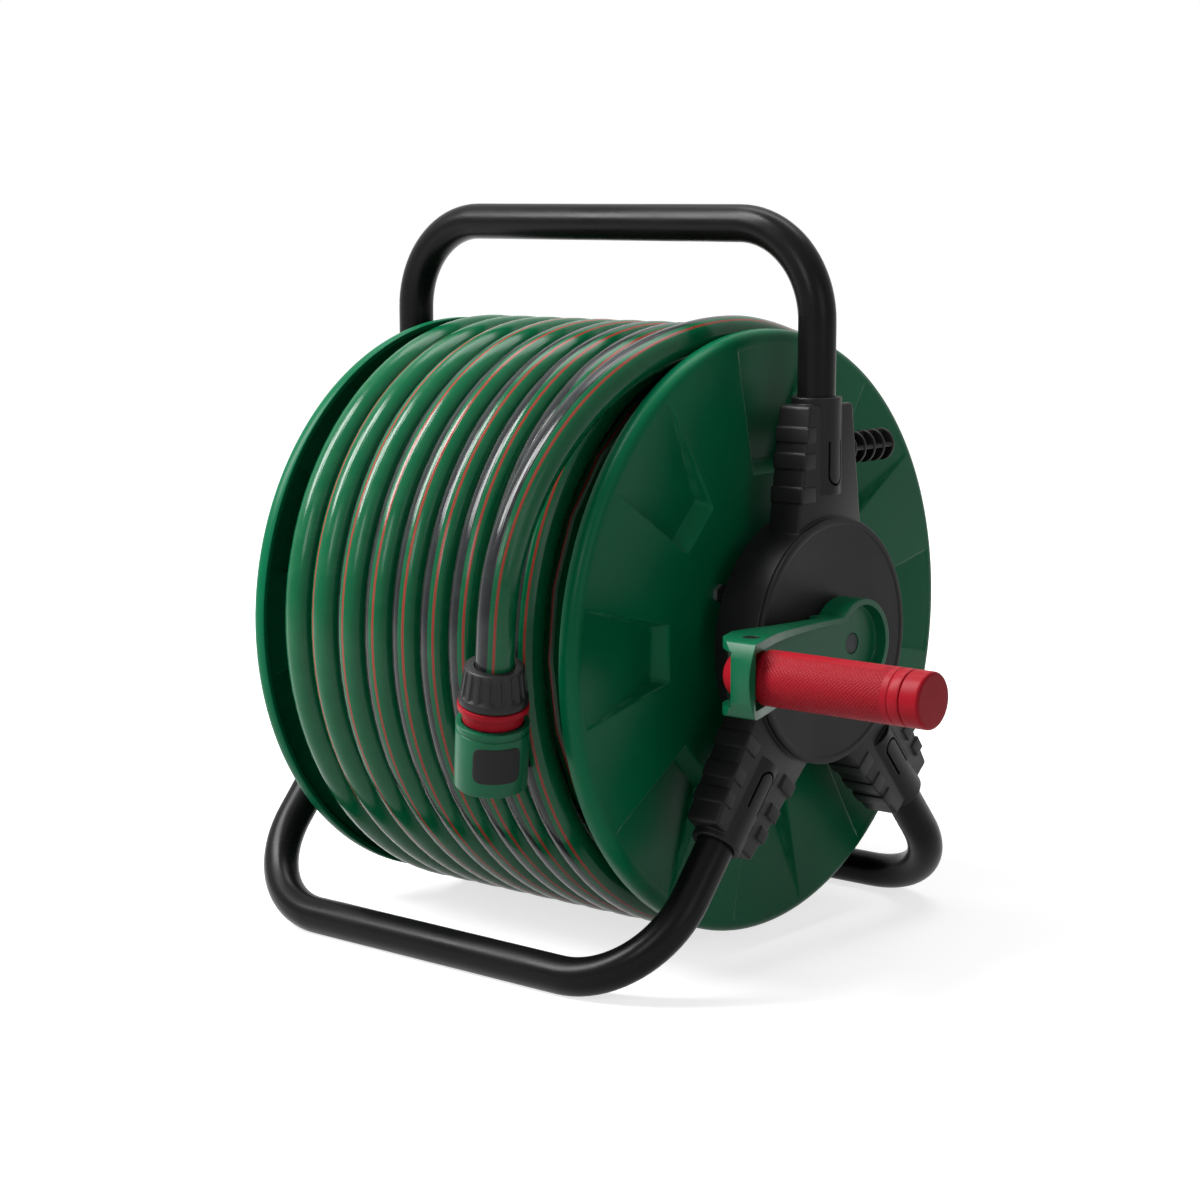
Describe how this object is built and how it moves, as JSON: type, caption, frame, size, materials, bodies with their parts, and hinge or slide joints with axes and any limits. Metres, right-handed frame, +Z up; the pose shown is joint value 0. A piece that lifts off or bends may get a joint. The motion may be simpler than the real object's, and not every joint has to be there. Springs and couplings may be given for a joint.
{
  "type": "hand-wound garden hose reel",
  "caption": "Free-standing garden hose reel: a drum of wound hose turned by a folding crank handle on a bent tube frame, with a quick connector on the free end.",
  "frame": {"origin": "On the floor under the middle of the overall box, measured without the free end of the hose and its connector.", "axes": "+X along the drum's axis towards the crank grip's tip, +Y towards the rear foot, +Z up."},
  "size_m": [0.447, 0.3461, 0.3788],
  "materials": {
    "black_tube": "satin powder coat",
    "black_plastic": "fine moulded texture",
    "green_plastic": "semi-gloss moulded",
    "red_plastic": "semi-gloss moulded",
    "green_hose": "glossy extruded vinyl with dark and red stripes",
    "acetal": "smooth turned",
    "steel": "zinc plated",
    "dark_steel": "blackened",
    "rubber": "matt"
  },
  "bodies": {
    "frame": {"handle_tube": "black_tube", "front_foot_tube": "black_tube", "rear_foot_tube": "black_tube", "crank_side_bracket": "black_plastic", "inlet_side_bracket": "black_plastic", "crank_side_hub_cap": "black_plastic", "inlet_side_hub_cap": "black_plastic", "crank_side_bush": "acetal", "inlet_side_bush": "acetal", "connector_peg": "black_plastic", "inlet_spigot": "black_plastic", "inlet_circlip": "steel", "inlet_o_ring_1": "rubber", "inlet_o_ring_2": "rubber"},
    "drum": {"crank_side_flange": "green_plastic", "inlet_side_flange": "green_plastic", "drum_barrel": "green_plastic", "tie_rod_1": "steel", "tie_rod_2": "steel", "tie_rod_3": "steel", "tie_rod_nut_1": "steel", "tie_rod_nut_2": "steel", "tie_rod_nut_3": "steel", "drive_spindle": "steel", "spindle_screw_1": "steel", "spindle_screw_2": "steel", "spindle_screw_3": "steel", "swivel_elbow": "acetal", "elbow_screw_1": "steel", "elbow_screw_2": "steel", "elbow_screw_3": "steel", "hose_inner_end": "green_hose", "hose_clip": "steel", "hose_inner_layers": "green_hose", "hose_winding": "green_hose", "hose_free_end": "green_hose", "connector_nut": "black_plastic", "connector_body": "red_plastic", "connector_washer": "rubber", "connector_spring": "steel", "crank_arm": "green_plastic", "crank_screw": "steel", "fold_pin": "dark_steel", "fold_pin_ring": "dark_steel"},
    "grip": {"grip_spindle": "red_plastic", "grip_end_cap": "red_plastic"},
    "grip_sleeve": {"grip_sleeve": "red_plastic"},
    "connector_collar": {"connector_collar": "green_plastic", "collar_pad_1": "rubber", "collar_pad_2": "rubber"}
  },
  "joints": [
    {"name": "drum_spin", "type": "hinge", "parent": "frame", "child": "drum", "pos_m": [-0.0515, 0, 0.16322], "axis": [1, 0, 0], "continuous": true},
    {"name": "grip_fold", "type": "hinge", "parent": "drum", "child": "grip", "pos_m": [0.1235, -0.103, 0.16322], "axis": [0, 0, 1], "range_deg": [0, 90]},
    {"name": "grip_spin", "type": "hinge", "parent": "grip", "child": "grip_sleeve", "pos_m": [0.1235, -0.103, 0.16322], "axis": [1, 0, 0], "continuous": true},
    {"name": "collar_slide", "type": "slide", "parent": "drum", "child": "connector_collar", "axis": [0.2011, -0.165, 0.9656], "range_m": [0, 0.003], "stiffness_N_per_m": 800, "springref_m": -0.002}
  ]
}
